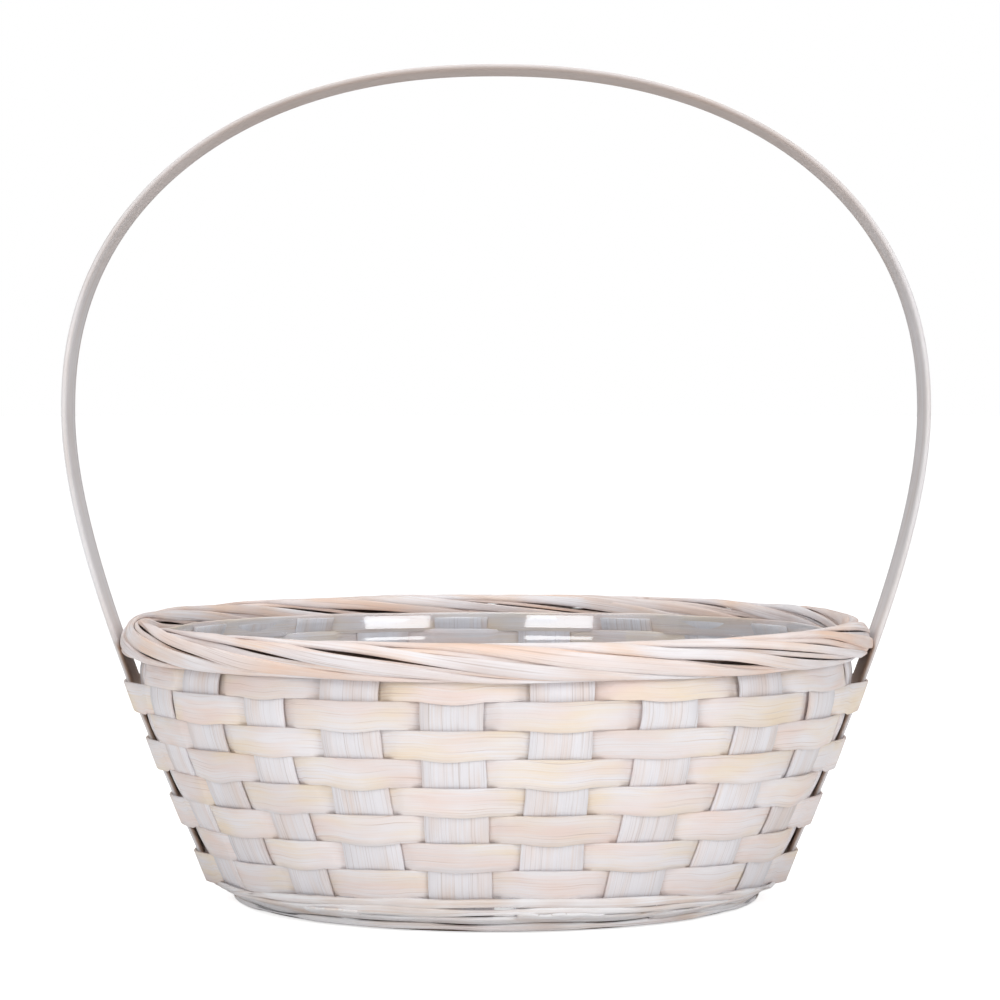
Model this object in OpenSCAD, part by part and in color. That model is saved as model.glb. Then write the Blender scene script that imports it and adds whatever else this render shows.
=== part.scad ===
// Flower girl basket: a round bowl woven from flat wood chips, with a wrapped
// rim, a wound foot, a fixed hoop handle and a clear liner that lifts out.
// Millimetres. +Z is up, +X runs along the handle, -Y is the front.
// The origin is on the floor under the middle of the bowl.

/* [Bowl] */
// Radius of the wall where its straight line meets the floor
wall_foot_r = 88.9; // [88.5:0.1:89.1]
// Outward lean of the wall for each millimetre of height
wall_lean = 0.455; // [0.45:0.001:0.457]
// How far the wall has curled back in at its top
wall_curl = 13.2; // [13:0.1:13.4]
// Height of the woven base, mid-thickness
base_z = 6; // [6:0.1:6.3]

/* [Chips] */
// Width of an upright chip
upright_w = 19.5; // [17:0.5:19.5]
// Width of the one narrow upright chip, left of the middle
narrow_w = 15.5; // [14:0.5:19.5]
// Thickness of an upright chip
upright_t = 0.9; // [0.6:0.05:0.95]
// Thickness of a weaver
weaver_t = 0.8; // [0.5:0.05:0.85]

/* [Handle] */
// Width of the handle strip
handle_w = 24.5; // [18:0.5:25]
// Thickness of the handle strip
handle_t = 1.7; // [1.2:0.1:1.8]
// Half of the widest span of the hoop, outside
handle_reach = 143.4; // [143:0.1:145]
// Height of the top of the hoop
handle_top = 275; // [230:1:300]

/* [Rim] */
// Radius of the middle of the rim bundle
rim_r = 120.1; // [120:0.1:120.4]
// Height of the middle of the rim bundle
rim_z = 85.2; // [85.2:0.1:86]

/* [Liner] */
// Thickness of the clear liner
liner_t = 0.4; // [0.3:0.05:0.8]
// Height of the liner's top edge
liner_top = 87; // [82:0.5:90]

/* [Hidden] */

// Colours of the pieces
upright_colour = "gainsboro";
weaver_colour = "linen";
rim_colour = "antiquewhite";
handle_colour = "silver";
liner_colour = [0.85, 0.9, 0.95, 0.4];

// Weave: how far a weaver's middle swings either side of the wall, how far a
// flat stretch runs on past what it covers, and the air between rows. The two
// top rows swing further, as the wall curves there
swing = 1.05;
top_swings = [1.55, 1.4];
overrun = 0.4;
row_gap = 0.3;
// Base weave: half of the height step between the two layers of the base
base_step = 0.55;
base_overrun = 0.7;
bend_r = 2.5;

// The uprights stand up inside the rim bundle and the top row stops under it
wall_top = 85;
curl_power = 7;
row_1_top = 80.6;
// Edges of the other rows: the top of the second row at the front, the row
// pitch there, and how much lower each is beside the handle
row_2_top = 74;
row_pitch = 8.9;
row_2_dip = 1.8;
pitch_dip = 0.45;
row_count = 8;

// Spread of the uprights: the pitch at the front and at the back, and how far
// the middle ones are shifted towards the left
front_pitch = 16;
back_pitch = 14.8;
upright_shift = 6.5;

// Handle: where the hoop is widest, its roundness, and the lower ends
handle_wide_z = 161;
handle_power = 2.2;
handle_taper = 0.548;
handle_ease = 114;
handle_end_z = 9;
handle_air = 0.2;

// Rim bundle: a round core with flat splits wound round it
rim_core_r = 2.7;
rim_split_count = 6;
rim_split_w = 3.2;
rim_split_t = 1.4;
rim_split_d = 3.55;
rim_turns = 3;

// Foot: a flat ring with flat splits round the outside
foot_r = 86;
foot_ring_w = 3;
foot_ring_h = 4.7;
foot_split_count = 4;
foot_split_t = 1.1;
foot_split_air = 0.25;

// Liner: clear of the weave, of the rim and of the base
liner_air = 0.9;
mouth_air = 1.5;
liner_floor_z = 7.4;
liner_corner_r = 5;

// Points
function polar(r, a, z) = [r * sin(a), -r * cos(a), z];
function mix(p, q, f) = p + (q - p) * f;
function smooth(x) = let (f = min(1, max(0, x))) f * f * (3 - 2 * f);

// Radius of the wall's middle at a height
function wall_r(z) = wall_foot_r + wall_lean * z - wall_curl * pow(z / wall_top, curl_power);

// Angle from the front of an upright, counted from -5 at the left to 5
function front_angle(u) = front_pitch * u - upright_shift * cos(18 * u);
function back_angle(u) = 180 - back_pitch * u + upright_shift * cos(18 * u);

// The uprights in their order round the bowl, from beside the left handle
UPRIGHTS = concat([for (u = [-5 : 5]) front_angle(u)],
    [for (u = [5 : -1 : -5]) back_angle(u)]);

// The two ends of the narrow chip are uprights 3 and 18, counted from 0
function chip_w(j) = j == 3 || j == 18 ? narrow_w : upright_w;

// Half of an upright's width, as an angle at a radius
function half_angle(j, r) = asin(chip_w(j) / 2 / r);

// Outside of the handle strip, as its distance from the middle at a height
function handle_x(z) =
    let (d = max(0, handle_wide_z - z))
    handle_reach - handle_taper * d * d / (d + handle_ease);

// A bar or a closed ring through sections that have the same corner count
module sweep(sections, closed = false) {
    n = len(sections);
    m = len(sections[0]);
    sides = [for (i = [0 : n - (closed ? 1 : 2)], k = [0 : m - 1])
        let (j = (i + 1) % n, l = (k + 1) % m)
        each [[i * m + k, i * m + l, j * m + l], [i * m + k, j * m + l, j * m + k]]];
    caps = closed ? [] : [[for (k = [m - 1 : -1 : 0]) k],
        [for (k = [0 : m - 1]) (n - 1) * m + k]];
    polyhedron([for (s = sections) each s], concat(caps, sides), convexity = 20);
}

// ---- Uprights and base ----

// Where the base turns up into the wall
wall_tilt = atan(wall_lean);
bend_length = bend_r * tan((90 - wall_tilt) / 2);
bend_start_r = wall_r(base_z) - bend_length;

// The wall part of an upright, as [radius, height, tilt of the normal]
function wall_path() = concat(
    [for (z = [wall_top, 82, 78, 73, 66, 56, 44, 30, 18]) [wall_r(z), z, z > 70 ? 0 : wall_tilt]],
    [for (f = [0 : 0.25 : 1]) let (t = (90 - wall_tilt) * (1 - f))
        [bend_start_r + bend_r * sin(t), base_z + bend_r * (1 - cos(t)), 90 - t]]);

// Four corners across upright j on the wall; s is -1 or 1 and keeps the
// corners in one order at both ends of a strip
function wall_section(p, j, s) =
    let (a = UPRIGHTS[j], h = half_angle(j, p[0]) * s, dr = cos(p[2]) * upright_t / 2,
        dz = sin(p[2]) * upright_t / 2)
    [polar(p[0] + dr, a + h, p[1] - dz), polar(p[0] + dr, a - h, p[1] - dz),
        polar(p[0] - dr, a - h, p[1] + dz), polar(p[0] - dr, a + h, p[1] + dz)];

// The two edges of a strip across the base, from upright i to upright j
function edge_point(j, s) = polar(bend_start_r, UPRIGHTS[j] + s * half_angle(j, bend_start_r), 0);
function strip_edges(i, j) = [[edge_point(i, 1), edge_point(j, -1)],
    [edge_point(i, -1), edge_point(j, 1)]];

// Where two lines cross, moved on by a length along the first
function cross_at(l, m, on) =
    let (d = l[1] - l[0], e = m[1] - m[0],
        f = cross([m[0].x - l[0].x, m[0].y - l[0].y], [e.x, e.y]) / cross([d.x, d.y], [e.x, e.y]))
    l[0] + d * (f + on / norm(d));

function base_section(p, q, z) =
    let (up = [0, 0, upright_t / 2], c = [0, 0, base_z + z])
    [p + c - up, q + c - up, q + c + up, p + c + up];

// Two sections for each strip that is crossed, over it or under it
function base_sections(edges, crossed, first) =
    [for (k = [0 : len(crossed) - 1], side = [-1, 1])
        let (line = crossed[k][side < 0 ? 0 : 1],
            step = (k + first) % 2 == 0 ? base_step : -base_step,
            on = side * base_overrun)
        base_section(cross_at(edges[0], line, on), cross_at(edges[1], line, on), step)];

// The two uprights of each strip that runs across the bowl, from the front
ACROSS = concat([for (u = [3 : 5]) [5 - u, 5 + u]], [for (u = [5 : -1 : 3]) [16 + u, 16 - u]]);
// The two uprights of each strip that runs from front to back, from the left
ALONG = [for (u = [-2 : 2]) [5 + u, 16 - u]];

// Edges of each strip in the base, nearest the start of the crossing one first
ALONG_EDGES = [for (s = ALONG) let (e = strip_edges(s[0], s[1])) [e[1], e[0]]];
ACROSS_EDGES = [for (s = ACROSS) strip_edges(s[0], s[1])];

// The short strip that fills the middle of the base under the handle
MIDDLE_Y = (ACROSS_EDGES[2][1][0].y + ACROSS_EDGES[3][0][0].y) / 2;
MIDDLE_EDGES = [for (s = [-1, 1]) [for (x = [-1, 1])
    [x * (bend_start_r - 3), MIDDLE_Y + s * upright_w / 2, 0]]];
CROSSED_BY_ALONG = concat([for (i = [0 : 2]) ACROSS_EDGES[i]], [MIDDLE_EDGES],
    [for (i = [3 : 5]) ACROSS_EDGES[i]]);

module upright_strip(ends, sections) {
    path = wall_path();
    n = len(path);
    color(upright_colour) sweep(concat(
        [for (p = path) wall_section(p, ends[0], 1)],
        sections,
        [for (i = [n - 1 : -1 : 0]) wall_section(path[i], ends[1], -1)]));
}

// Strip i of the six that run across; row is its place among all seven
module across_strip(i, row) {
    upright_strip(ACROSS[i], base_sections(ACROSS_EDGES[i], ALONG_EDGES, row));
}

module cross_strip(i) {
    e = ALONG_EDGES[i];
    upright_strip(ALONG[i], base_sections([e[1], e[0]], CROSSED_BY_ALONG, i + 1));
}

module base_middle_strip() {
    e = MIDDLE_EDGES;
    color(upright_colour) sweep(concat(
        [base_section(e[0][0], e[1][0], 0)],
        base_sections(e, ALONG_EDGES, 3),
        [base_section(e[0][1], e[1][1], 0)]));
}

// ---- Weavers ----

// Height of the top edge of a row at an angle; row 9 is the foot's top
function row_z(row, a) = row == 1 ? row_1_top :
    row_2_top - row_pitch * (row - 2) - pow(sin(a), 2) * (row_2_dip + pitch_dip * (row - 2));

// A station on the wall: [angle, signed half width to run on, swing].
// A station on the handle: [side, signed distance along y], two numbers.
function weaver_corner(st, z, out) = len(st) == 3 ?
    let (r = wall_r(z)) polar(r + st[2] + out, st[0] + asin(st[1] / r), z) :
    [st[0] * (handle_x(z) + handle_air + weaver_t / 2 + out), st[1], z];

function weaver_section(row, st) =
    let (r = wall_r(row_z(row, 0)), t = weaver_t / 2,
        a = len(st) == 3 ? st[0] + asin(st[1] / r) : 90 - atan(st[1] / r),
        top = row_z(row, a), low = row_z(row + 1, a) + row_gap)
    [weaver_corner(st, top, t), weaver_corner(st, low, t),
        weaver_corner(st, low, -t), weaver_corner(st, top, -t)];

// A row passes outside every second upright. Even rows also cover the handle
// and the upright beside it in one float; odd rows stay inside both.
function row_stations(row) =
    let (h = handle_w / 2 + overrun, even = row % 2 == 0,
        d = row <= len(top_swings) ? top_swings[row - 1] : swing)
    [for (j = [0 : 21]) let (w = chip_w(j) / 2 + overrun) each concat(
        even && j == 0 ? [] : [[UPRIGHTS[j], -w, (row + j) % 2 == 0 ? d : -d]],
        even && j == 10 ? [] : [[UPRIGHTS[j], w, (row + j) % 2 == 0 ? d : -d]],
        j == 10 ? (even ? [[1, -h], [1, h]] : [[90, 0, -d], [90, h, -d]]) :
        j == 21 ? (even ? [[-1, h], [-1, -h]] : [[270, -h, -d], [270, 0, -d]]) : [])];

module weaver(row) {
    color(weaver_colour)
        sweep([for (st = row_stations(row)) weaver_section(row, st)], closed = true);
}

// ---- Rim ----

module rim_core() {
    color(rim_colour) rotate_extrude($fn = 96)
        translate([rim_r, rim_z]) circle(rim_core_r, $fn = 32);
}

// One flat split, wound round the core as it goes round the bowl: towards the
// right along the front it comes over the top and down the outside
module rim_split(i) {
    color(rim_colour) sweep([for (a = [0 : 3 : 357])
        let (t = 360 / rim_split_count * i - rim_turns * a)
        [for (c = [[1, 1], [1, -1], [-1, -1], [-1, 1]])
            let (d = rim_split_d + c[0] * rim_split_t / 2, w = c[1] * rim_split_w / 2)
            polar(rim_r + d * cos(t) - w * sin(t), a, rim_z + d * sin(t) + w * cos(t))]],
        closed = true);
}

// ---- Foot ----

module foot_ring() {
    color(rim_colour) rotate_extrude($fn = 96)
        translate([foot_r - foot_ring_w, 0]) square([foot_ring_w, foot_ring_h]);
}

// Inside of the splits: down the ring, then out under the wall and up it
function foot_in(z) = foot_r + 0.4 + 6.7 * smooth((z - 2.8) / 3.6)
    + wall_lean * max(0, z - 6.4);

// One flat split; together they fill the height under the lowest weaver
module foot_split(i) {
    color(rim_colour) sweep([for (a = [0 : 7.5 : 352.5])
        let (h = row_z(row_count + 1, a) / foot_split_count,
            low = h * i + foot_split_air, top = h * (i + 1))
        [for (c = [[1, top], [1, low], [0, low], [0, top]])
            polar(foot_in(c[1]) + c[0] * foot_split_t, a, c[1])]],
        closed = true);
}

// ---- Handle ----

// The outside of the hoop, from the foot of its right side over to the left
ARCH = [for (t = [0 : 5 : 180])
    [sign(cos(t)) * handle_reach * pow(abs(cos(t)), 2 / handle_power),
        handle_wide_z + (handle_top - handle_wide_z) * pow(sin(t), 2 / handle_power)]];
LEG_Z = [for (f = [0 : 0.05 : 0.95]) mix(handle_end_z, handle_wide_z, f)];
HOOP = concat([for (z = LEG_Z) [handle_x(z), z]], ARCH,
    [for (i = [len(LEG_Z) - 1 : -1 : 0]) [-handle_x(LEG_Z[i]), LEG_Z[i]]]);

// The same point moved in by the strip's thickness
function hoop_inside(i) =
    let (d = HOOP[min(i + 1, len(HOOP) - 1)] - HOOP[max(i - 1, 0)])
    HOOP[i] + handle_t * [-d.y, d.x] / norm(d);

module handle_hoop() {
    color(handle_colour) rotate([90, 0, 0]) translate([0, 0, -handle_w / 2])
        linear_extrude(handle_w)
        polygon(concat(HOOP, [for (i = [len(HOOP) - 1 : -1 : 0]) hoop_inside(i)]));
}

// ---- Liner ----

// It follows the wall, then stands straight up inside the tops of the uprights
liner_mouth_r = wall_r(wall_top) - mouth_air;
function liner_r(z) = min(wall_r(z) - swing - weaver_t / 2 - liner_air, liner_mouth_r);

// Half of the section, as the outside moved in by a thickness
function liner_outline(in) =
    let (z0 = liner_floor_z + liner_corner_r,
        r0 = liner_r(z0) - liner_corner_r / cos(wall_tilt))
    concat([for (f = [0 : 0.2 : 1]) let (t = (90 - wall_tilt) * f)
        [r0 + (liner_corner_r - in) * sin(t), z0 - (liner_corner_r - in) * cos(t)]],
        [for (z = [20 : 6 : 80]) [liner_r(z) - in, z]],
        [[liner_mouth_r - in, liner_top]]);

module liner() {
    outside = liner_outline(0);
    inside = liner_outline(liner_t);
    n = len(outside);
    color(liner_colour) rotate_extrude($fn = 96)
        polygon(concat([[0, liner_floor_z]], outside,
            [for (i = [n - 1 : -1 : 0]) inside[i]], [[0, liner_floor_z + liner_t]]));
}

across_strip(0, 0);  // front_strip_1
across_strip(1, 1);  // front_strip_2
across_strip(2, 2);  // front_strip_3
base_middle_strip();
across_strip(3, 4);  // back_strip_1
across_strip(4, 5);  // back_strip_2
across_strip(5, 6);  // back_strip_3
cross_strip(0);  // cross_strip_1
cross_strip(1);  // cross_strip_2
cross_strip(2);  // cross_strip_3
cross_strip(3);  // cross_strip_4
cross_strip(4);  // cross_strip_5
weaver(1);  // weaver_1
weaver(2);  // weaver_2
weaver(3);  // weaver_3
weaver(4);  // weaver_4
weaver(5);  // weaver_5
weaver(6);  // weaver_6
weaver(7);  // weaver_7
weaver(8);  // weaver_8
rim_core();
rim_split(0);  // rim_split_1
rim_split(1);  // rim_split_2
rim_split(2);  // rim_split_3
rim_split(3);  // rim_split_4
rim_split(4);  // rim_split_5
rim_split(5);  // rim_split_6
foot_ring();
foot_split(0);  // foot_split_1
foot_split(1);  // foot_split_2
foot_split(2);  // foot_split_3
foot_split(3);  // foot_split_4
handle_hoop();
liner();
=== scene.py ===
import math
from bisect import bisect_right

import bpy
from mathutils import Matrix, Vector, noise


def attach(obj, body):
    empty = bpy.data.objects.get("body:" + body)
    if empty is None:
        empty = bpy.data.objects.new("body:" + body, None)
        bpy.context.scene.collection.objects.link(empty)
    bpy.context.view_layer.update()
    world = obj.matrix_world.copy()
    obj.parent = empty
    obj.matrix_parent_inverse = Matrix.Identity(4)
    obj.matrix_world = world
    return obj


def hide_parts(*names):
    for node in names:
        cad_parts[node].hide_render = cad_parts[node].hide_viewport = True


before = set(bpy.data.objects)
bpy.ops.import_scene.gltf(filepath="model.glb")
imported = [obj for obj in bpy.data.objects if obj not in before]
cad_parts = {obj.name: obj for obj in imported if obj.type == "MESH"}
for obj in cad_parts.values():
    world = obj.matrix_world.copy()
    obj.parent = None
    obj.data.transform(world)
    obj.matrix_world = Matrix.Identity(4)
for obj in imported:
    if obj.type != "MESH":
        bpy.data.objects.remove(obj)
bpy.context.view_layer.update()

# ---- Camera, floor and light ----
# A long lens a little over a metre off, just higher than the rim. A soft box
# stands either side of it and a third hangs above, in a white room.

scene = bpy.context.scene
scene.view_settings.view_transform = "Standard"

CAMERA_DISTANCE = 1.123
CAMERA_HEIGHT = 0.160
AIM_HEIGHT = 0.1313
AIM_SIDE = 0.0013

camera_data = bpy.data.cameras.new("camera")
camera_data.sensor_width = 36
camera_data.lens = 121.3
camera = bpy.data.objects.new("camera", camera_data)
camera.location = (AIM_SIDE, -CAMERA_DISTANCE, CAMERA_HEIGHT)
camera.rotation_euler = (
    math.radians(90) - math.atan2(CAMERA_HEIGHT - AIM_HEIGHT, CAMERA_DISTANCE), 0, 0)
scene.collection.objects.link(camera)
scene.camera = camera


def linear(hex_colour):
    """An sRGB hex colour as linear red, green, blue and alpha."""
    channels = [int(hex_colour[i:i + 2], 16) / 255 for i in (1, 3, 5)]
    return [c / 12.92 if c <= 0.04045 else ((c + 0.055) / 1.055) ** 2.4 for c in channels] + [1]


def add_node(tree, kind, settings=None, **links):
    """A node with its settings and inputs. A link names an input, with _ for each
    space, or gives its number after one _."""
    node = tree.nodes.new(kind)
    for name, value in (settings or {}).items():
        setattr(node, name, value)
    for name, value in links.items():
        number = name[1:]
        socket = node.inputs[int(number) if number.isdigit() else name.replace("_", " ")]
        if isinstance(value, bpy.types.NodeSocket):
            tree.links.new(value, socket)
        else:
            socket.default_value = value
    return node


def new_material(name):
    """A material with no nodes yet, named for its finish."""
    material = bpy.data.materials.new(name)
    material.use_nodes = True
    material.node_tree.nodes.clear()
    return material


def finish_material(material, shader):
    """The material with its last shader joined to its output."""
    tree = material.node_tree
    add_node(tree, "ShaderNodeOutputMaterial", Surface=shader.outputs[0])
    return material


BOWL_MIDDLE = Vector((0, 0, 0.08))


def soft_box(name, azimuth, height, distance, size, watts):
    """A flat lamp that faces the middle of the bowl; azimuth 0 is the front."""
    lamp_data = bpy.data.lights.new(name, "AREA")
    lamp_data.shape = "RECTANGLE"
    lamp_data.size, lamp_data.size_y = size
    lamp_data.energy = watts
    lamp = bpy.data.objects.new(name, lamp_data)
    a = math.radians(azimuth)
    lamp.location = (distance * math.sin(a), -distance * math.cos(a), height)
    aim = BOWL_MIDDLE - lamp.location
    lamp.rotation_euler = aim.to_track_quat("-Z", "Y").to_euler()
    scene.collection.objects.link(lamp)


soft_box("soft_box_left", azimuth=-24, height=0.6, distance=1.7, size=(0.75, 0.6), watts=6.6)
soft_box("soft_box_right", azimuth=38, height=0.6, distance=1.7, size=(0.75, 0.6), watts=6.9)
soft_box("soft_box_top", azimuth=0, height=1.4, distance=0.15, size=(1.2, 1.2), watts=11.5)

# White paint on the room: the light that it gives is dimmer than what is seen
ROOM_LIGHT = 0.42
ROOM_SEEN = 1.0
world = bpy.data.worlds.new("white_room")
scene.world = world
world.use_nodes = True
room = world.node_tree
room.nodes.clear()
ray = add_node(room, "ShaderNodeLightPath")
room_light = add_node(room, "ShaderNodeBackground", Color=(1, 1, 1, 1), Strength=ROOM_LIGHT)
room_seen = add_node(room, "ShaderNodeBackground", Color=(1, 1, 1, 1), Strength=ROOM_SEEN)
room_mix = add_node(room, "ShaderNodeMixShader", Fac=ray.outputs["Is Camera Ray"],
                    _1=room_light.outputs[0], _2=room_seen.outputs[0])
add_node(room, "ShaderNodeOutputWorld", Surface=room_mix.outputs[0])

FLOOR_REACH = 200.0
FLOOR_DROP = 0.0003
FLOOR_GLOW = 0.72
floor_mesh = bpy.data.meshes.new("floor")
floor_mesh.from_pydata([(x * FLOOR_REACH, y * FLOOR_REACH, -FLOOR_DROP)
                        for x, y in ((-1, -1), (1, -1), (1, 1), (-1, 1))], [], [(0, 1, 2, 3)])
floor = bpy.data.objects.new("floor", floor_mesh)
scene.collection.objects.link(floor)

# Matt white paper: no shine, and bright enough to join the room without an edge
paper = new_material("matt_white_paper")
tree = paper.node_tree
paper_shader = add_node(tree, "ShaderNodeBsdfPrincipled", Base_Color=linear("#f4f4f4"),
                        Roughness=0.9)
paper_seen = add_node(tree, "ShaderNodeLightPath").outputs["Is Camera Ray"]
paper_share = add_node(tree, "ShaderNodeMath", {"operation": "MULTIPLY"},
                       _0=paper_seen, _1=FLOOR_GLOW)
paper_glow = add_node(tree, "ShaderNodeEmission", Color=(1, 1, 1, 1),
                      Strength=paper_share.outputs[0])
paper_lit = add_node(tree, "ShaderNodeAddShader", _0=paper_shader.outputs[0],
                     _1=paper_glow.outputs[0])
floor_mesh.materials.append(finish_material(paper, paper_lit))

# ---- Upright chips and base ----
# Strips of split bamboo, planed flat and bent up at both ends. They cross under
# the bowl in a plain weave and stand up round it as its uprights.

MM = 0.001
UPRIGHT_WIDTH = 19.5
NARROW_WIDTH = 15.5
NARROW_UPRIGHTS = (3, 18)
UPRIGHT_THICKNESS = 0.9
WALL_FOOT_RADIUS = 88.9
WALL_TOP = 85
WALL_LEAN = 0.455
WALL_CURL = 13.2
CURL_POWER = 7
WALL_TILT = math.atan(WALL_LEAN)
ROWS = 8
ROW_1_TOP = 80.6
ROW_2_TOP = 74
ROW_PITCH = 8.9
SIDE_DROP = 1.8
SIDE_DROP_MORE = 0.45
BASE_Z = 6
BEND_RADIUS = 2.5
BASE_STEP = 0.55
BASE_OVERRUN = 0.7


def polar(radius, angle, z=0.0):
    """A point at an angle from the front, in degrees towards the right."""
    a = math.radians(angle)
    return Vector((radius * math.sin(a), -radius * math.cos(a), z))


def wall_radius(z):
    """Middle of the wall at a height: it leans out, then curls in at the rim."""
    return WALL_FOOT_RADIUS + WALL_LEAN * z - WALL_CURL * (z / WALL_TOP) ** CURL_POWER


def row_height(row, angle):
    """Top edge of a row of weaving at an angle; the row after the last is the foot.
    The rows sink a little towards the handle, the lower ones more."""
    if row == 1:
        return ROW_1_TOP
    side = math.sin(math.radians(angle)) ** 2
    return ROW_2_TOP - ROW_PITCH * (row - 2) - side * (SIDE_DROP + SIDE_DROP_MORE * (row - 2))


def smooth_rule(knots):
    """A smooth curve through (x, y) knots that never swings past one."""
    xs, ys = zip(*knots)
    steps = [b - a for a, b in zip(xs, xs[1:])]
    rises = [(b - a) / s for a, b, s in zip(ys, ys[1:], steps)]
    slopes = [0] + [2 * a * b / (a + b) if a * b > 0 else 0
                    for a, b in zip(rises, rises[1:])] + [0]

    def rule(x):
        i = min(max(bisect_right(xs, x) - 1, 0), len(steps) - 1)
        f, h = min(max((x - xs[i]) / steps[i], 0), 1), steps[i]
        g = 1 - f
        return (ys[i] * (1 + 2 * f) * g * g + ys[i + 1] * (1 + 2 * g) * f * f
                + h * slopes[i] * f * g * g - h * slopes[i + 1] * g * f * f)
    return rule


# Points round a strip's section: five on each face and two on each edge
RIBBON_CORNERS = 14
# How far each seed shifts the grain along a strip and across it
SEED_ALONG = 173.0
SEED_ACROSS = 3.1


def ribbon(name, sections, thickness, closed=False, rounding=0.16, crown=0.0, seed=0):
    """A flat strip through sections, each a pair of edge points in millimetres.
    crown is how far its middle stands out, once or for each section. The UV map
    "grain" runs along it and across it, in millimetres."""
    count = len(sections)
    crowns = crown if isinstance(crown, list) else [crown] * count
    middles = [(a + b) / 2 for a, b in sections]
    verts, spots = [], []
    half = thickness / 2
    for i, (a, b) in enumerate(sections):
        before = middles[i - 1] if closed or i else middles[0]
        after = middles[(i + 1) % count] if closed or i < count - 1 else middles[-1]
        across = b - a
        width = across.length
        out = (after - before).cross(across).normalized()
        inset = min(rounding / width, 0.3)
        face = [inset, 0.25, 0.5, 0.75, 1 - inset]
        ring = [(f, half) for f in face] + [(1, half * 0.5), (1, -half * 0.5)]
        ring += [(f, -half) for f in reversed(face)] + [(0, -half * 0.5), (0, half * 0.5)]
        for f, through in ring:
            lift = through + crowns[i] * (1 - (2 * f - 1) ** 2)
            verts.append((a + across * f + out * lift) * MM)
            spots.append(f * width)
    size = RIBBON_CORNERS
    lengths = [0.0]
    for i in range(1, count + 1):
        lengths.append(lengths[-1] + (middles[i % count] - middles[i - 1]).length)
    faces, grain = [], []
    shift = SEED_ALONG * seed
    for i in range(count if closed else count - 1):
        j = (i + 1) % count
        for k in range(size):
            m = (k + 1) % size
            faces.append((i * size + k, i * size + m, j * size + m, j * size + k))
            for row, col in ((i, k), (i, m), (i + 1, m), (i + 1, k)):
                grain.append((lengths[row] + shift,
                              spots[(row % count) * size + col] + SEED_ACROSS * seed))
    if not closed:
        faces.append(tuple(range(size - 1, -1, -1)))
        faces.append(tuple((count - 1) * size + k for k in range(size)))
        grain += [(shift + 0.1 * k, spots[k]) for k in range(size - 1, -1, -1)]
        grain += [(shift + 0.1 * k, spots[k]) for k in range(size)]
    mesh = bpy.data.meshes.new(name)
    mesh.from_pydata(verts, [], faces)
    layer = mesh.uv_layers.new(name="grain")
    layer.data.foreach_set("uv", [x for uv in grain for x in uv])
    mesh.shade_smooth()
    piece = bpy.data.objects.new(name, mesh)
    scene.collection.objects.link(piece)
    return piece


def wobble(x, seed, size):
    """Smooth random unevenness of a given size, the same on every run."""
    return size * noise.noise(Vector((x, 7.3 * seed, 1.7)))


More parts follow.
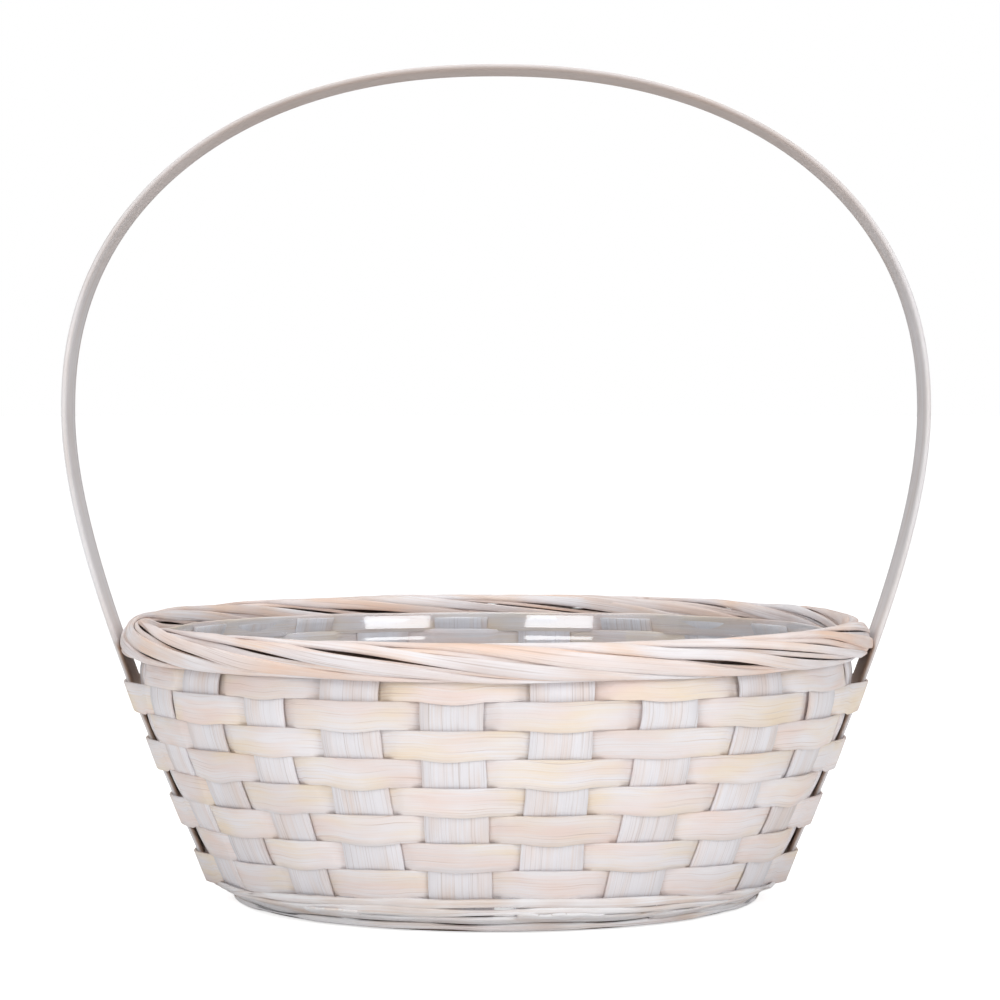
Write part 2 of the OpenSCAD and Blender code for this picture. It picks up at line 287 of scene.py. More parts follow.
def chip_material(name, wash, wood, tint, streak, wash_share, streak_share,
                  gloss=0.55, bare_and_shade=None, fibre=0.6, ridges=0.12):
    """Split bamboo under a thin coat of whitewash: the wash is uneven, so the wood
    shows through in patches, and the fibres leave fine ridges along the strip.
    wood and tint are two tones of the wood and streak is its dark lines; the shares
    are where in their noise the wash and the streaks begin and are full. The colour
    for bare wood is the wood's own brown, darkened as painted shade; it shows where
    the attribute that it is named for is 1. fibre is the width of one
    fibre and ridges the depth between two, in millimetres. Real fibres are about
    0.3 mm wide, too fine to show, so they are drawn twice as wide or more."""
    material = new_material(name)
    tree = material.node_tree
    grain = add_node(tree, "ShaderNodeUVMap", {"uv_map": "grain"}).outputs[0]

    def flecks(length, width, detail):
        """Noise whose flecks are about length by width millimetres along the grain."""
        spread = add_node(tree, "ShaderNodeMapping", Vector=grain,
                          Scale=(1 / length, 1 / width, 1))
        return add_node(tree, "ShaderNodeTexNoise", {"noise_dimensions": "2D"},
                        Vector=spread.outputs[0], Scale=1.0, Detail=detail,
                        Roughness=0.55).outputs[0]

    patches = flecks(34, 9, 2)
    fibres = flecks(130 * fibre, fibre, 3)
    fine = flecks(60 * fibre, 0.5 * fibre, 2)
    threads = flecks(90 * fibre, 0.8 * fibre, 2)
    cover = add_node(tree, "ShaderNodeMath", {"operation": "MULTIPLY_ADD"},
                     _0=fibres, _1=0.45, _2=patches)
    washed_share = add_node(tree, "ShaderNodeMapRange", Value=cover.outputs[0],
                            From_Min=wash_share[0], From_Max=wash_share[1])
    tint_share = add_node(tree, "ShaderNodeMapRange", Value=flecks(38, 16, 1),
                          From_Min=0.4, From_Max=0.6)
    warm = add_node(tree, "ShaderNodeMix", {"data_type": "RGBA"},
                    Factor=tint_share.outputs[0], _6=linear(wood), _7=linear(tint))
    washed = add_node(tree, "ShaderNodeMix", {"data_type": "RGBA"},
                      Factor=washed_share.outputs[0], _6=warm.outputs[2], _7=linear(wash))
    marks = add_node(tree, "ShaderNodeMapRange", Value=threads,
                     From_Min=streak_share[0], From_Max=streak_share[1])
    streaked = add_node(tree, "ShaderNodeMix", {"data_type": "RGBA"},
                        Factor=marks.outputs[0], _6=washed.outputs[2], _7=linear(streak))
    tone = add_node(tree, "ShaderNodeMapRange", Value=flecks(55, 40, 1),
                    From_Min=0.3, From_Max=0.7)
    value = add_node(tree, "ShaderNodeMath", {"operation": "MULTIPLY_ADD"},
                     _0=tone.outputs[0], _1=0.08, _2=0.95)
    colour = add_node(tree, "ShaderNodeHueSaturation", Value=value.outputs[0],
                      Color=streaked.outputs[2]).outputs[0]
    # Painted shade: where the attribute is 1 the colour turns to the dark bare-wood brown, which
    # stands for wood in shadow.
    if bare_and_shade:
        bare_and_shade_layer = add_node(tree, "ShaderNodeAttribute", {"attribute_name": "bare_and_shade"})
        colour = add_node(tree, "ShaderNodeMix", {"data_type": "RGBA"},
                          Factor=bare_and_shade_layer.outputs["Fac"], _6=colour, _7=linear(bare_and_shade)).outputs[2]
    ridge = add_node(tree, "ShaderNodeMath", {"operation": "MULTIPLY_ADD"},
                     _0=fine, _1=0.5, _2=fibres)
    bump = add_node(tree, "ShaderNodeBump", Strength=0.8, Distance=ridges * MM,
                    Height=ridge.outputs[0])
    fibre_gloss = add_node(tree, "ShaderNodeMapRange", Value=fibres, From_Min=0.1, From_Max=0.9)
    rough = add_node(tree, "ShaderNodeMath", {"operation": "MULTIPLY_ADD"},
                     _0=fibre_gloss.outputs[0], _1=0.2, _2=gloss - 0.1)
    shader = add_node(tree, "ShaderNodeBsdfPrincipled", Base_Color=colour,
                      Roughness=rough.outputs[0], Normal=bump.outputs[0])
    return finish_material(material, shader)


# Planed bamboo with most of its wash left: cool, pale and matt, with grey lines
upright_chip = chip_material(
    "whitewashed_bamboo_upright", wash="#e9e7eb", wood="#e2d3cb", tint="#e6dbd8",
    streak="#c2b4af", wash_share=(0.42, 0.8), streak_share=(0.56, 0.9))

# Degrees from one upright to the next in each half, and how far the middle one of
# a half stands to the left; this fades out over five uprights to either side
FRONT_PITCH = 16
BACK_PITCH = 14.8
MIDDLE_SHIFT = 6.5
SHIFT_TURN = 18


def front_angle(u):
    return FRONT_PITCH * u - MIDDLE_SHIFT * math.cos(math.radians(SHIFT_TURN * u))


def back_angle(u):
    return 180 - BACK_PITCH * u + MIDDLE_SHIFT * math.cos(math.radians(SHIFT_TURN * u))


UPRIGHTS = ([front_angle(u) for u in range(-5, 6)]
            + [back_angle(u) for u in range(5, -6, -1)])
BEND_START = wall_radius(BASE_Z) - BEND_RADIUS * math.tan((math.pi / 2 - WALL_TILT) / 2)


def half_angle(radius, half_width):
    """Half the angle that a strip of this half width takes up at a radius."""
    return math.degrees(math.asin(half_width / radius))


def half_width(j):
    return (NARROW_WIDTH if j in NARROW_UPRIGHTS else UPRIGHT_WIDTH) / 2


# An upright bows in behind a float and out between two, and its cut end stands up
BOW_IN = 0.2
BOW_OUT = 0.3
END_RISE = 0.6
END_UNEVEN = 1.2
EDGE_UNEVEN = 0.5
WALL_STEPS = 40
BEND_STEPS = 8


def upright_wall(j, seed):
    """Sections of upright j from its top down round the bend, left edge first."""
    angle = UPRIGHTS[j]
    bows = [(row_height(ROWS + 1, angle) - 3, 0)]
    for row in range(ROWS, 0, -1):
        middle = (row_height(row, angle) + row_height(row + 1, angle)) / 2
        bows.append((middle, -BOW_IN if (row + j) % 2 == 0 else BOW_OUT))
    bow = smooth_rule(bows + [(WALL_TOP, 0)])
    places = []
    low = BASE_Z + BEND_RADIUS * (1 - math.sin(WALL_TILT))
    top = WALL_TOP + END_RISE + wobble(angle, seed, END_UNEVEN)
    for i in range(WALL_STEPS):
        z = top + (low - top) * i / WALL_STEPS
        places.append((wall_radius(min(z, WALL_TOP)) + bow(z), z))
    for i in range(BEND_STEPS + 1):
        t = (math.pi / 2 - WALL_TILT) * (1 - i / BEND_STEPS)
        places.append((BEND_START + BEND_RADIUS * math.sin(t),
                       BASE_Z + BEND_RADIUS * (1 - math.cos(t))))
    sections = []
    for r, z in places:
        left = -half_angle(r, half_width(j) + wobble(z / 9, seed, EDGE_UNEVEN))
        right = half_angle(r, half_width(j) + wobble(z / 9, seed + 40, EDGE_UNEVEN))
        sections.append((polar(r, angle + left, z), polar(r, angle + right, z)))
    return sections


def base_lines(i, j):
    """The two edges of a strip across the base, between its two uprights."""
    a, b = UPRIGHTS[i], UPRIGHTS[j]
    h, k = half_angle(BEND_START, half_width(i)), half_angle(BEND_START, half_width(j))
    return [(polar(BEND_START, a + h), polar(BEND_START, b - k)),
            (polar(BEND_START, a - h), polar(BEND_START, b + k))]


def crossing(line, other):
    """How far along one line another one crosses it."""
    along = (line[1] - line[0]).to_2d()
    over = (other[1] - other[0]).to_2d()
    away = (other[0] - line[0]).to_2d()
    return along.length * away.cross(over) / along.cross(over)


def base_run(line, crossed, first):
    """Height rule along one edge of a base strip that goes over and under others."""
    knots = [(0, 0)]
    for k, (near, far) in enumerate(crossed):
        step = BASE_STEP if (k + first) % 2 == 0 else -BASE_STEP
        knots += [(crossing(line, near) - BASE_OVERRUN, step),
                  (crossing(line, far) + BASE_OVERRUN, step)]
    return smooth_rule(knots + [((line[1] - line[0]).length, 0)])


def base_sections(lines, crossed, first, steps=72):
    """Sections across the base; the second line is the strip's first edge."""
    heights = [base_run(line, crossed, first) for line in lines]
    sections = []
    for i in range(1, steps):
        points = []
        for line, height in zip(lines, heights):
            point = line[0].lerp(line[1], i / steps)
            point.z = BASE_Z + height((line[1] - line[0]).length * i / steps)
            points.append(point)
        sections.append((points[1], points[0]))
    return sections


MIDDLE_STRIP_INSET = 3
ACROSS = [(5 - u, 5 + u) for u in (3, 4, 5)] + [(16 + u, 16 - u) for u in (5, 4, 3)]
ALONG = [(5 + u, 16 - u) for u in range(-2, 3)]
across_lines = [base_lines(i, j) for i, j in ACROSS]
along_lines = [base_lines(i, j) for i, j in ALONG]
middle_x = BEND_START - MIDDLE_STRIP_INSET
middle_y = (across_lines[2][1][0].y + across_lines[3][0][0].y) / 2
middle_lines = [tuple(Vector((x * middle_x, middle_y + s * UPRIGHT_WIDTH / 2, 0))
                      for x in (-1, 1)) for s in (-1, 1)]
crossed_by_across = [(lines[1], lines[0]) for lines in along_lines]
crossed_by_along = across_lines[:3] + [middle_lines] + across_lines[3:]


def upright_strip(node, ends, run, seed):
    """One strip from the top of one wall, under the bowl, to the top of the other."""
    down = upright_wall(ends[0], seed)
    up = [(b, a) for a, b in reversed(upright_wall(ends[1], seed + 20))]
    piece = ribbon(node + "_chip", down + run + up, UPRIGHT_THICKNESS, crown=0.12, seed=seed)
    piece.data.materials.append(upright_chip)
    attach(piece, "basket")
    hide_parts(node)


ACROSS_NODES = ["front_strip_1", "front_strip_2", "front_strip_3",
                "back_strip_1", "back_strip_2", "back_strip_3"]
for i, node in enumerate(ACROSS_NODES):
    run = base_sections(across_lines[i], crossed_by_across, i if i < 3 else i + 1)
    upright_strip(node, ACROSS[i], run, seed=i + 1)
for i in range(5):
    run = base_sections(along_lines[i], crossed_by_along, i + 1)
    upright_strip(f"cross_strip_{i + 1}", ALONG[i], run, seed=i + 8)

middle_run = base_sections([middle_lines[1], middle_lines[0]], crossed_by_across, 3)
middle_chip = ribbon("base_middle_chip", middle_run, UPRIGHT_THICKNESS, seed=14)
middle_chip.data.materials.append(upright_chip)
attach(middle_chip, "basket")
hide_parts("base_middle_strip")

# ---- Weavers ----
# Eight narrower bamboo chips, each woven in and out round the uprights. Where
# one passes outside it stands proud as a bowed float with a shadow under it.

WEAVER_THICKNESS = 0.8
SWING = 1.05
TOP_SWINGS = {1: 1.55, 2: 1.4}
MIDDLE_BOW = 0.2
FLOAT_SAG = 0.85
TOP_EDGE_SAG = 0.1
INNER_SPREAD = 0.45
ROW_GAP = 0.08
OVERRUN = 0.4

# The handle's strip as the even rows meet it: its width, its half span where it is
# widest and how high that is, and how its legs draw in below
HANDLE_WIDTH = 24.5
HANDLE_HALF_SPAN = 143.4
HANDLE_WIDE_Z = 161
LEG_SLOPE = 0.548
LEG_EASE = 114
HANDLE_GAP = 0.2
HANDLE_BOW = 0.1


def handle_reach(z):
    """Outside of the handle strip, as its distance from the middle at a height."""
    drop = max(0, HANDLE_WIDE_Z - z)
    return HANDLE_HALF_SPAN - LEG_SLOPE * drop * drop / (drop + LEG_EASE)


def closed_rule(knots):
    """A smooth rule of the angle that goes on past its last knot to its first."""
    return smooth_rule([(a - 360, out) for a, out in knots[-4:]] + knots
                       + [(a + 360, out) for a, out in knots[:4]])


def rule_angle(angle):
    """The same angle from -60 to 300 degrees, which a closed rule's knots cover."""
    return (angle + 60) % 360 - 60


def around(angle):
    """A point on a unit circle, so that noise taken there closes round the bowl."""
    turn = math.radians(angle)
    return Vector((math.cos(turn), math.sin(turn), 0))


def uneven(place, layer):
    """Smooth random unevenness within -1 and 1 at a place in one layer of noise."""
    return noise.noise(place + Vector((0, 0, layer)))


def weaver_rule(row, edge):
    """How far a weaver's edge stands out from the wall, as a rule of the angle.
    An even row covers the handle and the upright beside it in one float."""
    def height(angle):
        top, low = row_height(row, angle), row_height(row + 1, angle) + ROW_GAP
        return top if edge == "top" else low

    hold = HANDLE_WIDTH / 2 + OVERRUN
    even = row % 2 == 0
    swing = TOP_SWINGS.get(row, SWING)
    knots = []
    for j, angle in enumerate(UPRIGHTS):
        side = 1 if (row + j) % 2 == 0 else -1
        bow = side * (swing + MIDDLE_BOW)
        reach = half_angle(wall_radius(height(angle)), half_width(j) + OVERRUN)
        if not (even and j == 0):
            knots.append((angle - reach, side * swing))
        if not (even and j in (0, 10)):
            knots.append((angle, bow))
        if not (even and j == 10):
            knots.append((angle + reach, side * swing))
        if j in (10, 21):
            middle = 90 if j == 10 else 270
            z = height(middle)
            wall = wall_radius(z)
            if even:
                x = handle_reach(z) + HANDLE_GAP + WEAVER_THICKNESS / 2
                turn = math.degrees(math.atan2(hold, x))
                edge_out = math.hypot(x, hold) - wall
                knots += [(middle - turn, edge_out), (middle, x + HANDLE_BOW - wall),
                          (middle + turn, edge_out)]
            else:
                knots += [(middle, -swing - MIDDLE_BOW)]
                if j == 10:
                    knots.append((middle + half_angle(wall, hold), -swing))
                else:
                    knots.insert(-1, (middle - half_angle(wall, hold), -swing))
    knots.sort()
    # A float keeps out past an edge, then turns in fast: 0.6 of it is left at 0.6 of the way
    turns = []
    for (a, out), (b, far) in zip(knots, knots[1:] + [(knots[0][0] + 360, knots[0][1])]):
        if 0.5 < out < 2 and far < -0.5:
            turns.append((a + 0.6 * (b - a), 0.6 * out))
        if out < -0.5 and 0.5 < far < 2:
            turns.append((a + 0.4 * (b - a), 0.6 * far))
    return closed_rule(sorted(knots + turns)), height


# Bamboo split nearer the skin, its wash rubbed thin on the floats: cream and matt
weaver_chip = chip_material(
    "whitewashed_bamboo_weaver", wash="#ebe7e9", wood="#eddcc6", tint="#ebd8d0",
    streak="#c4aa9c", wash_share=(0.5, 0.95), streak_share=(0.62, 0.9))

for row in range(1, ROWS + 1):
    top_rule, top_height = weaver_rule(row, "top")
    low_rule, low_height = weaver_rule(row, "low")
    edges = ((low_rule, low_height, FLOAT_SAG, -INNER_SPREAD, row + 1),
             (top_rule, top_height, TOP_EDGE_SAG, INNER_SPREAD, row))
    swing = TOP_SWINGS.get(row, SWING)
    start = UPRIGHTS[15 if row % 2 == 0 else 14]
    sections = []
    for step in range(360):
        angle = rule_angle(start + step)
        ring = around(angle) * 6
        points = []
        for rule, height, sag, spread, seed in edges:
            out = rule(angle)
            z = height(angle) + spread * min(max(-out / swing, 0), 1)
            share = min(max((out - swing) / MIDDLE_BOW, 0), 1)
            jag = 0.2 * uneven(ring, 3.7 * seed)
            jag += 0.1 * uneven(ring * 4, 1.9 * seed)
            sag *= 1 + 0.8 * uneven(ring * 0.5, 2.3 * seed)
            points.append(polar(wall_radius(z) + out, angle, z + jag - sag * share))
        sections.append(tuple(points))
    piece = ribbon(f"weaver_{row}_chip", sections, WEAVER_THICKNESS, closed=True,
                   crown=0.06, seed=row + 20)
    piece.data.materials.append(weaver_chip)
    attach(piece, "basket")
    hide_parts(f"weaver_{row}")

# One more row inside the rim, which hides it from outside
TOP_ROW_SWING = 0.78
TOP_ROW_THICKNESS = 0.55
TOP_ROW_MIDDLE = 84
TOP_ROW_EDGES = ((80.0, 3), (87.3, 4))
top_knots = []
for j, angle in enumerate(UPRIGHTS):
    reach = half_angle(wall_radius(TOP_ROW_MIDDLE), half_width(j) + OVERRUN)
    side = TOP_ROW_SWING if j % 2 == 0 else -TOP_ROW_SWING
    top_knots += [(angle - reach, side), (angle + reach, side)]
top_rule = closed_rule(top_knots)
sections = []
for step in range(360):
    angle = rule_angle(UPRIGHTS[5] + step)
    points = []
    for z, seed in TOP_ROW_EDGES:
        jag = wobble(math.cos(math.radians(angle)) * 6, seed, 0.5)
        points.append(polar(wall_radius(min(z, WALL_TOP)) + top_rule(angle), angle, z + jag))
    sections.append(tuple(points))
top_row = ribbon("top_row_chip", sections, TOP_ROW_THICKNESS, closed=True, seed=19)
top_row.data.materials.append(weaver_chip)
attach(top_row, "basket")

# ---- Foot ----
# A flat ring with four narrow splits of bamboo wound round it, under the lowest
# weaver, and short ends of splits tucked between them. The basket stands on it.

FOOT_RADIUS = 86
FOOT_RING_WIDTH = 3
FOOT_RING_HEIGHT = 4.7
FOOT_SPLIT_THICKNESS = 1.1
FOOT_SPLITS = 4
FOOT_STEPS = 240
FOOT_GAP = 0.4
FLARE_START = 2.8
FLARE_HEIGHT = 3.6
FLARE_OUT = 6.7
FLARE_END = 6.4

# Thin splits with a thick, rough wash: nearly white. The ring under them is bare wood darkened
# with painted shade, so the gaps between the splits read as shadowed.
foot_chip = chip_material(
    "whitewashed_bamboo_foot", wash="#f3f2f4", wood="#e3cfc0", tint="#e2d5d1",
    streak="#b3a39b", wash_share=(0.42, 0.8), streak_share=(0.6, 0.9), bare_and_shade="#6b5648")


def foot_inside(z):
    """Inside of the splits: down the ring, then out under the wall."""
    f = min(max((z - FLARE_START) / FLARE_HEIGHT, 0), 1)
    return (FOOT_RADIUS + FOOT_GAP + FLARE_OUT * f * f * (3 - 2 * f)
            + WALL_LEAN * max(0, z - FLARE_END))


def lay_bare_and_shade(piece, shares):
    """Says how much of the bare, shaded brown each vertex shows: bare wood with painted shade, a
    share for each vertex.
    """
    layer = piece.data.attributes.new("bare_and_shade", "FLOAT", "POINT")
    layer.data.foreach_set("value", shares)


ring_radius = FOOT_RADIUS - FOOT_RING_WIDTH / 2
foot_ring = ribbon("foot_ring_chip",
                   [(polar(ring_radius, a, 0.0), polar(ring_radius, a, FOOT_RING_HEIGHT))
                    for a in range(0, 360, 3)],
                   FOOT_RING_WIDTH, closed=True, rounding=0.4, seed=31)
# The whole ring takes the dark brown: bare wood with painted shade, seen in the gaps between the
# splits.
lay_bare_and_shade(foot_ring, [1.0] * len(foot_ring.data.vertices))
foot_ring.data.materials.append(foot_chip)
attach(foot_ring, "basket")
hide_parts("foot_ring")

for i in range(FOOT_SPLITS):
    sections = []
    for step in range(FOOT_STEPS):
        angle = 180 + step * 360 / FOOT_STEPS
        ring = around(angle) * 3
        share = row_height(ROWS + 1, angle) / FOOT_SPLITS
        low = share * i + 0.25 + 1.3 * uneven(ring, 5.1 * i)
        top = share * (i + 1) - 0.1 + 1.1 * uneven(ring * 1.4, 5.1 * i + 2.2)
        low = max(low, 0.35 if i == 0 else 0.5)
        out = FOOT_SPLIT_THICKNESS / 2 + 0.5 * uneven(ring * 1.7, 9 + i)
        sections.append((polar(foot_inside(low) + out, angle, low),
                         polar(foot_inside(top) + out, angle, top)))
    piece = ribbon(f"foot_split_{i + 1}_strip", sections, FOOT_SPLIT_THICKNESS, closed=True,
                   rounding=0.35, crown=0.25, seed=i + 33)
    piece.data.materials.append(foot_chip)
    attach(piece, "basket")
    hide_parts(f"foot_split_{i + 1}")

# Each tucked end: where it starts, how long it is in degrees, its height at
# both ends and its width
TUCKS = [(-40, 13, 4.6, 5.2, 2.4), (4, 17, 6.2, 4.9, 1.8),
         (33, 21, 3.2, 4.8, 2.1), (84, 18, 5.4, 4.1, 2.3),
         (131, 15, 3.6, 5.1, 2.0), (176, 19, 5.9, 4.4, 2.4),
         (222, 16, 4.0, 5.3, 2.1), (268, 20, 5.6, 3.9, 2.2)]
TUCK_THICKNESS = 0.7
TUCK_STEPS = 24
TUCK_OUT = 1.3
TUCK_ARCH = 0.7
for i, (start, turn, first_z, last_z, width) in enumerate(TUCKS):
    sections = []
    for step in range(TUCK_STEPS + 1):
        f = step / TUCK_STEPS
        z = first_z + (last_z - first_z) * f + wobble(6 * f, i + 5, 0.4)
        half = width / 2 * (1 + wobble(5 * f, i + 70, 0.5))
        out = TUCK_OUT + TUCK_ARCH * math.sin(math.pi * min(f * 1.3, 1))
        sections.append((polar(foot_inside(z - half) + out, start + turn * f, z - half),
                         polar(foot_inside(z + half) + out, start + turn * f, z + half)))
    tuck = ribbon(f"foot_tuck_{i + 1}_strip", sections, TUCK_THICKNESS, rounding=0.15,
                  crown=0.15, seed=i + 71)
    tuck.data.materials.append(foot_chip)
    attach(tuck, "basket")

# ---- Rim ----
# Six flat splits wound slowly round a round core along the top edge of the wall,
# so that they cross the rim at a slant, with six thinner ones filling between.

RIM_RADIUS = 120.2
RIM_Z = 85.7
RIM_BACK_RISE = 0.95
RIM_LONG = 5.6
RIM_SHORT = 3.5
RIM_SLANT = math.radians(116)
RIM_CORE_RADIUS = 2.7
RIM_CORE_WIDTH = 5.2
RIM_SPLITS = 6
RIM_SPLIT_WIDTH = 3.4
RIM_SPLIT_DEPTH = 0.15
RIM_SPLIT_THICKNESS = 1.0
RIM_FILL_WIDTH = 2.2
RIM_FILL_DEPTH = -0.75
RIM_TURNS = 3

# Splits that took the wash well: pale and slightly pink. Its dark brown is bare wood with
# painted shade, on the core seen between the splits.
rim_chip = chip_material(
    "whitewashed_bamboo_rim", wash="#ebe7e9", wood="#e6cbb8", tint="#dfd0cc",
    streak="#b9a399", wash_share=(0.45, 0.95), streak_share=(0.6, 0.9), bare_and_shade="#5c483c")
# Splits with the skin side out, which the wash runs off: thinner wash over peach
rim_peach = chip_material(
    "thinly_washed_bamboo_rim", wash="#ebe1df", wood="#e7c7b2", tint="#e4d3cb",
    streak="#b3978a", wash_share=(0.5, 1.0), streak_share=(0.6, 0.9), bare_and_shade="#5c483c")


def rim_loop(t, angle, away):
    """A point on the slanted oval that the splits follow round the rim."""
    long, short = (RIM_LONG + away) * math.cos(t), (RIM_SHORT + away) * math.sin(t)
    out = long * math.cos(RIM_SLANT) + short * math.sin(RIM_SLANT)
    up = long * math.sin(RIM_SLANT) - short * math.cos(RIM_SLANT)
    height = RIM_Z + RIM_BACK_RISE * (1 - math.cos(math.radians(angle)))
    return polar(RIM_RADIUS + out, angle, height + up)


def rim_split(name, start, phase, split_width, depth, seed, material):
    """One split round the whole rim; start is where it is hidden inside."""
    sections, crowns = [], []
    for step in range(360):
        angle = start + step
        ring = around(angle) * 2.6
        t = math.radians(phase + RIM_TURNS * angle + 22 * uneven(ring, 4.3 * seed))
        half = split_width / 2 * (1 + 0.7 * uneven(ring, 4.3 * seed + 2))
        away = depth + 0.6 * uneven(ring * 1.5, 4.3 * seed + 9)
        pace = math.hypot(RIM_LONG * math.sin(t), RIM_SHORT * math.cos(t))
        low = rim_loop(t + half / pace, angle, away)
        top = rim_loop(t - half / pace, angle, away)
        sections.append((low, top))
        crowns.append(0.9 * (rim_loop(t, angle, away) - (low + top) / 2).length)
    piece = ribbon(name, sections, RIM_SPLIT_THICKNESS, closed=True, rounding=0.15,
                   crown=crowns, seed=seed + 41)
    piece.data.materials.append(material)
    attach(piece, "basket")
    return piece


for i in range(RIM_SPLITS):
    start = (85 - 20 * i) % 120 + 120
    split = rim_split(f"rim_split_{i + 1}_strip", start, 60 * i, RIM_SPLIT_WIDTH,
                      RIM_SPLIT_DEPTH, i, rim_peach if i % 3 == 1 else rim_chip)
    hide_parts(f"rim_split_{i + 1}")
    rim_split(f"rim_fill_{i + 1}_strip", start - 10, 60 * i + 30, RIM_FILL_WIDTH,
              RIM_FILL_DEPTH, i + 9, rim_peach if i % 2 == 0 else rim_chip)

rim_core = ribbon("rim_core_strip",
                  [(polar(RIM_RADIUS, a, RIM_Z - RIM_CORE_RADIUS),
                    polar(RIM_RADIUS, a, RIM_Z + RIM_CORE_RADIUS)) for a in range(0, 360, 2)],
                  RIM_CORE_WIDTH, closed=True, rounding=1.6, seed=52)
# The whole core takes the dark brown: bare wood with painted shade, seen in the gaps between the
# splits.
lay_bare_and_shade(rim_core, [1.0] * len(rim_core.data.vertices))
rim_core.data.materials.append(rim_chip)
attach(rim_core, "basket")
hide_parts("rim_core")

# ---- Handle ----
# One strip of thick split bamboo, sanded, whitewashed and bent to a hoop. Its
# ends go down outside the wall, held under every second weaver.

HANDLE_THICKNESS = 1.7
HANDLE_TOP = 275
HANDLE_POWER = 2.2
HANDLE_END = 9
LEG_STEPS = 60

# Sanded bamboo, smoother than the chips, with the wash worn to a greyer wood; its brown is
# painted shade, and bare wood under the rim. Its fibres are drawn 2 mm wide, as narrower ones
# break up into specks on the hoop.
handle_strip = chip_material(
    "whitewashed_bamboo_handle", wash="#eceaec", wood="#e2d9d4", tint="#e6dfdd",
    streak="#b3a69e", wash_share=(0.4, 0.8), streak_share=(0.6, 0.95), gloss=0.5,
    bare_and_shade="#a08878", fibre=2.0, ridges=0.02)

leg_heights = [HANDLE_END + (HANDLE_WIDE_Z - HANDLE_END) * i / LEG_STEPS
               for i in range(LEG_STEPS)]
legs = [(handle_reach(z), z) for z in leg_heights]
arch = []
for i in range(181):
    c, s = math.cos(math.radians(i)), math.sin(math.radians(i))
    arch.append((math.copysign(HANDLE_HALF_SPAN * abs(c) ** (2 / HANDLE_POWER), c),
                 HANDLE_WIDE_Z + (HANDLE_TOP - HANDLE_WIDE_Z) * abs(s) ** (2 / HANDLE_POWER)))
outline = legs + arch + [(-x, z) for x, z in reversed(legs)]
sections = []
for i, (x, z) in enumerate(outline):
    before, after = outline[max(i - 1, 0)], outline[min(i + 1, len(outline) - 1)]
    along = Vector((after[0] - before[0], 0, after[1] - before[1])).normalized()
    inward = Vector((-along.z, 0, along.x)) * (HANDLE_THICKNESS / 2)
    middle = Vector((x, 0, z)) + inward
    side = Vector((0, HANDLE_WIDTH / 2, 0))
    sections.append((middle + side, middle - side))
handle = ribbon("handle_hoop_strip", sections, HANDLE_THICKNESS, rounding=0.5, seed=61)

# Painted shade: the handle turns browner towards the top, on the right leg and on its
# inner face, where less light falls. Below the rim the inner face is bare, unwashed wood,
# darkened further as painted shade. The heights are in millimetres and the rest are shares.
TOP_SHADE_FROM = 190
TOP_SHADE_OVER = 70
OUTER_TOP_SHADE = 0.4
INNER_TOP_SHADE = 0.6
FAINT_SHADE = 0.12
BARE_AND_SHADED_BELOW = 84
shares = []
for i, vertex in enumerate(handle.data.vertices):
    inner_face = 6 <= i % RIBBON_CORNERS <= 12
    high = min(max((vertex.co.z / MM - TOP_SHADE_FROM) / TOP_SHADE_OVER, 0), 1)
    share = max(OUTER_TOP_SHADE * high, FAINT_SHADE if vertex.co.x > 0 else 0)
    if inner_face:
        share = 1 if vertex.co.z < BARE_AND_SHADED_BELOW * MM else FAINT_SHADE + INNER_TOP_SHADE * high
    shares.append(share)
lay_bare_and_shade(handle, shares)
handle.data.materials.append(handle_strip)
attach(handle, "basket")
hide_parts("handle_hoop")

# ---- Liner ----
# A loose cup of thin clear PVC, formed over the weave, so it has faint waves at
# the rows. It lifts straight out of the bowl.

LINER_THICKNESS = 0.4
LINER_FLOOR = 7.4
LINER_CORNER = 5
LINER_TOP = 87
LINER_MOUTH = 112.87
LINER_AIR = 0.9
LINER_UPRIGHT_ABOVE = 80


def liner_radius(z):
    """Outside of the cup: just inside the weavers, and straight up near its mouth."""
    weave = wall_radius(min(z, LINER_UPRIGHT_ABOVE)) - SWING - WEAVER_THICKNESS / 2
    return min(weave - LINER_AIR, LINER_MOUTH)


# How far the film stands out from its plain wall at each height, less than 0 being in
LINER_WAVES = [(LINER_FLOOR, 0), (20, 0), (29.5, -0.25), (34, 0), (38.4, -0.25), (43, 0),
               (47.3, -0.25), (52, 0), (56.2, -0.25), (61, 0), (65, -0.3), (70, 0),
               (76.8, -0.4), (79.4, 0), (81, -0.9), (87, 0)]


def liner_wave(z):
    for (low, first), (high, last) in zip(LINER_WAVES, LINER_WAVES[1:]):
        if z <= high:
            return first + (last - first) * (z - low) / (high - low)
    return 0


LINER_SIDES = 240
LINER_STEPS = 90
CORNER_STEPS = 8
FILM_UNEVEN = 0.3
FILM_INSET = 0.2
WAVES_GROW = 6
corner_z = LINER_FLOOR + LINER_CORNER
corner_r = liner_radius(corner_z) - LINER_CORNER / math.cos(WALL_TILT)
profile = [(r, LINER_FLOOR, 0, -1) for r in (8, 20, 35, 50, 65, corner_r - 6)]
for i in range(CORNER_STEPS + 1):
    t = (math.pi / 2 - WALL_TILT) * i / CORNER_STEPS
    profile.append((corner_r + LINER_CORNER * math.sin(t), corner_z - LINER_CORNER * math.cos(t),
                    math.sin(t), -math.cos(t)))
for i in range(1, LINER_STEPS + 1):
    z = corner_z - LINER_CORNER * math.sin(WALL_TILT)
    z += (LINER_TOP - z) * i / LINER_STEPS
    profile.append((liner_radius(z), z, 1, 0))

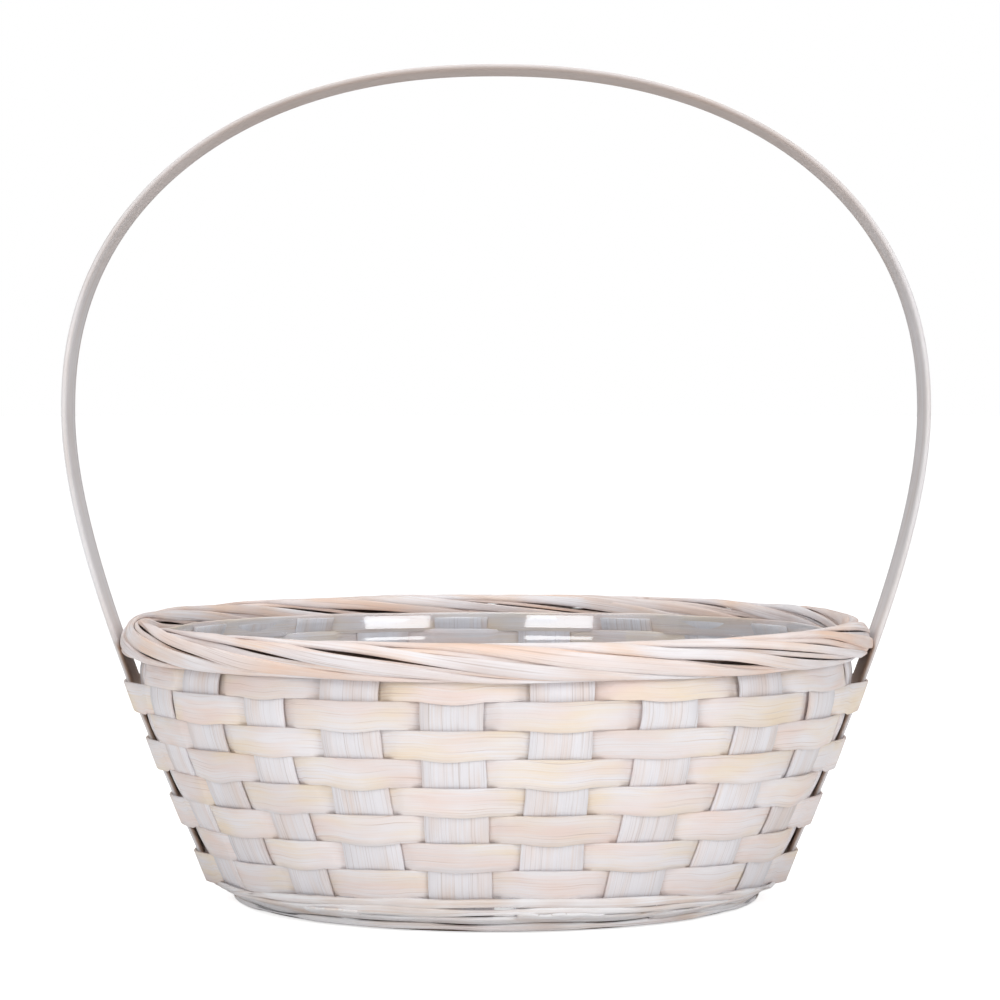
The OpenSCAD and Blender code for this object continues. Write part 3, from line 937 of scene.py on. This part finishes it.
verts, faces = [], []
for skin in (0, 1):
    for r, z, nr, nz in profile:
        for s in range(LINER_SIDES):
            angle = 360 * s / LINER_SIDES
            wave = 0
            if z > corner_z:
                wave = liner_wave(z) + FILM_UNEVEN * uneven(around(angle) * 4, z * 0.08)
                wave -= FILM_INSET
                wave *= min((z - corner_z) / WAVES_GROW, 1)
            inset = LINER_THICKNESS * skin
            verts.append(polar(r + nr * (wave - inset), angle, z - nz * inset) * MM)
rings = len(profile)
size = rings * LINER_SIDES
for k in range(rings - 1):
    for s in range(LINER_SIDES):
        m = (s + 1) % LINER_SIDES
        a, b = k * LINER_SIDES, (k + 1) * LINER_SIDES
        faces.append((a + s, a + m, b + m, b + s))
        faces.append((size + b + s, size + b + m, size + a + m, size + a + s))
top = (rings - 1) * LINER_SIDES
for s in range(LINER_SIDES):
    m = (s + 1) % LINER_SIDES
    faces.append((top + s, top + m, size + top + m, size + top + s))
faces.append(tuple(range(LINER_SIDES)))
faces.append(tuple(size + s for s in range(LINER_SIDES - 1, -1, -1)))
liner_mesh = bpy.data.meshes.new("clear_cup")
liner_mesh.from_pydata(verts, [], faces)
liner_mesh.shade_smooth()
liner = bpy.data.objects.new("clear_cup", liner_mesh)
scene.collection.objects.link(liner)

# Clear PVC film, formed and a little hazy: it has no colour of its own and shows
# only as a soft shine. It casts no shadow, as so thin a film hardly dims light.
# A spot of haze, a ripple and its depth are in millimetres.
HAZE_SPOT = 1000 / 60
RIPPLE_LENGTH = 1000 / 35
RIPPLE_DEPTH = 0.5
PVC_IOR = 1.6
MOST_SHINE = 0.1
clear_pvc = new_material("clear_pvc_film")
tree = clear_pvc.node_tree
place = add_node(tree, "ShaderNodeTexCoord").outputs["Object"]
haze = add_node(tree, "ShaderNodeTexNoise", Vector=place, Scale=1 / (HAZE_SPOT * MM),
                Detail=3.0)
haze_rough = add_node(tree, "ShaderNodeMapRange", Value=haze.outputs[0],
                      To_Min=0.03, To_Max=0.12)
ripple = add_node(tree, "ShaderNodeTexNoise", Vector=place, Scale=1 / (RIPPLE_LENGTH * MM),
                  Detail=1.0)
ripple_bump = add_node(tree, "ShaderNodeBump", Strength=0.4, Distance=RIPPLE_DEPTH * MM,
                       Height=ripple.outputs[0])
skin = add_node(tree, "ShaderNodeFresnel", IOR=PVC_IOR, Normal=ripple_bump.outputs[0])
skin_share = add_node(tree, "ShaderNodeMath", {"operation": "MINIMUM"},
                      _0=skin.outputs[0], _1=MOST_SHINE)
lamp_ray = add_node(tree, "ShaderNodeLightPath").outputs["Is Shadow Ray"]
view_ray = add_node(tree, "ShaderNodeMath", {"operation": "SUBTRACT"}, _0=1.0, _1=lamp_ray)
shine = add_node(tree, "ShaderNodeMath", {"operation": "MULTIPLY"},
                 _0=skin_share.outputs[0], _1=view_ray.outputs[0])
pvc_clear = add_node(tree, "ShaderNodeBsdfTransparent", Color=linear("#fdfeff"))
pvc_gloss = add_node(tree, "ShaderNodeBsdfAnisotropic", Color=linear("#ffffff"),
                     Roughness=haze_rough.outputs[0], Normal=ripple_bump.outputs[0])
pvc_lit = add_node(tree, "ShaderNodeMixShader", Fac=shine.outputs[0],
                   _1=pvc_clear.outputs[0], _2=pvc_gloss.outputs[0])
liner_mesh.materials.append(finish_material(clear_pvc, pvc_lit))
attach(liner, "liner")
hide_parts("liner")
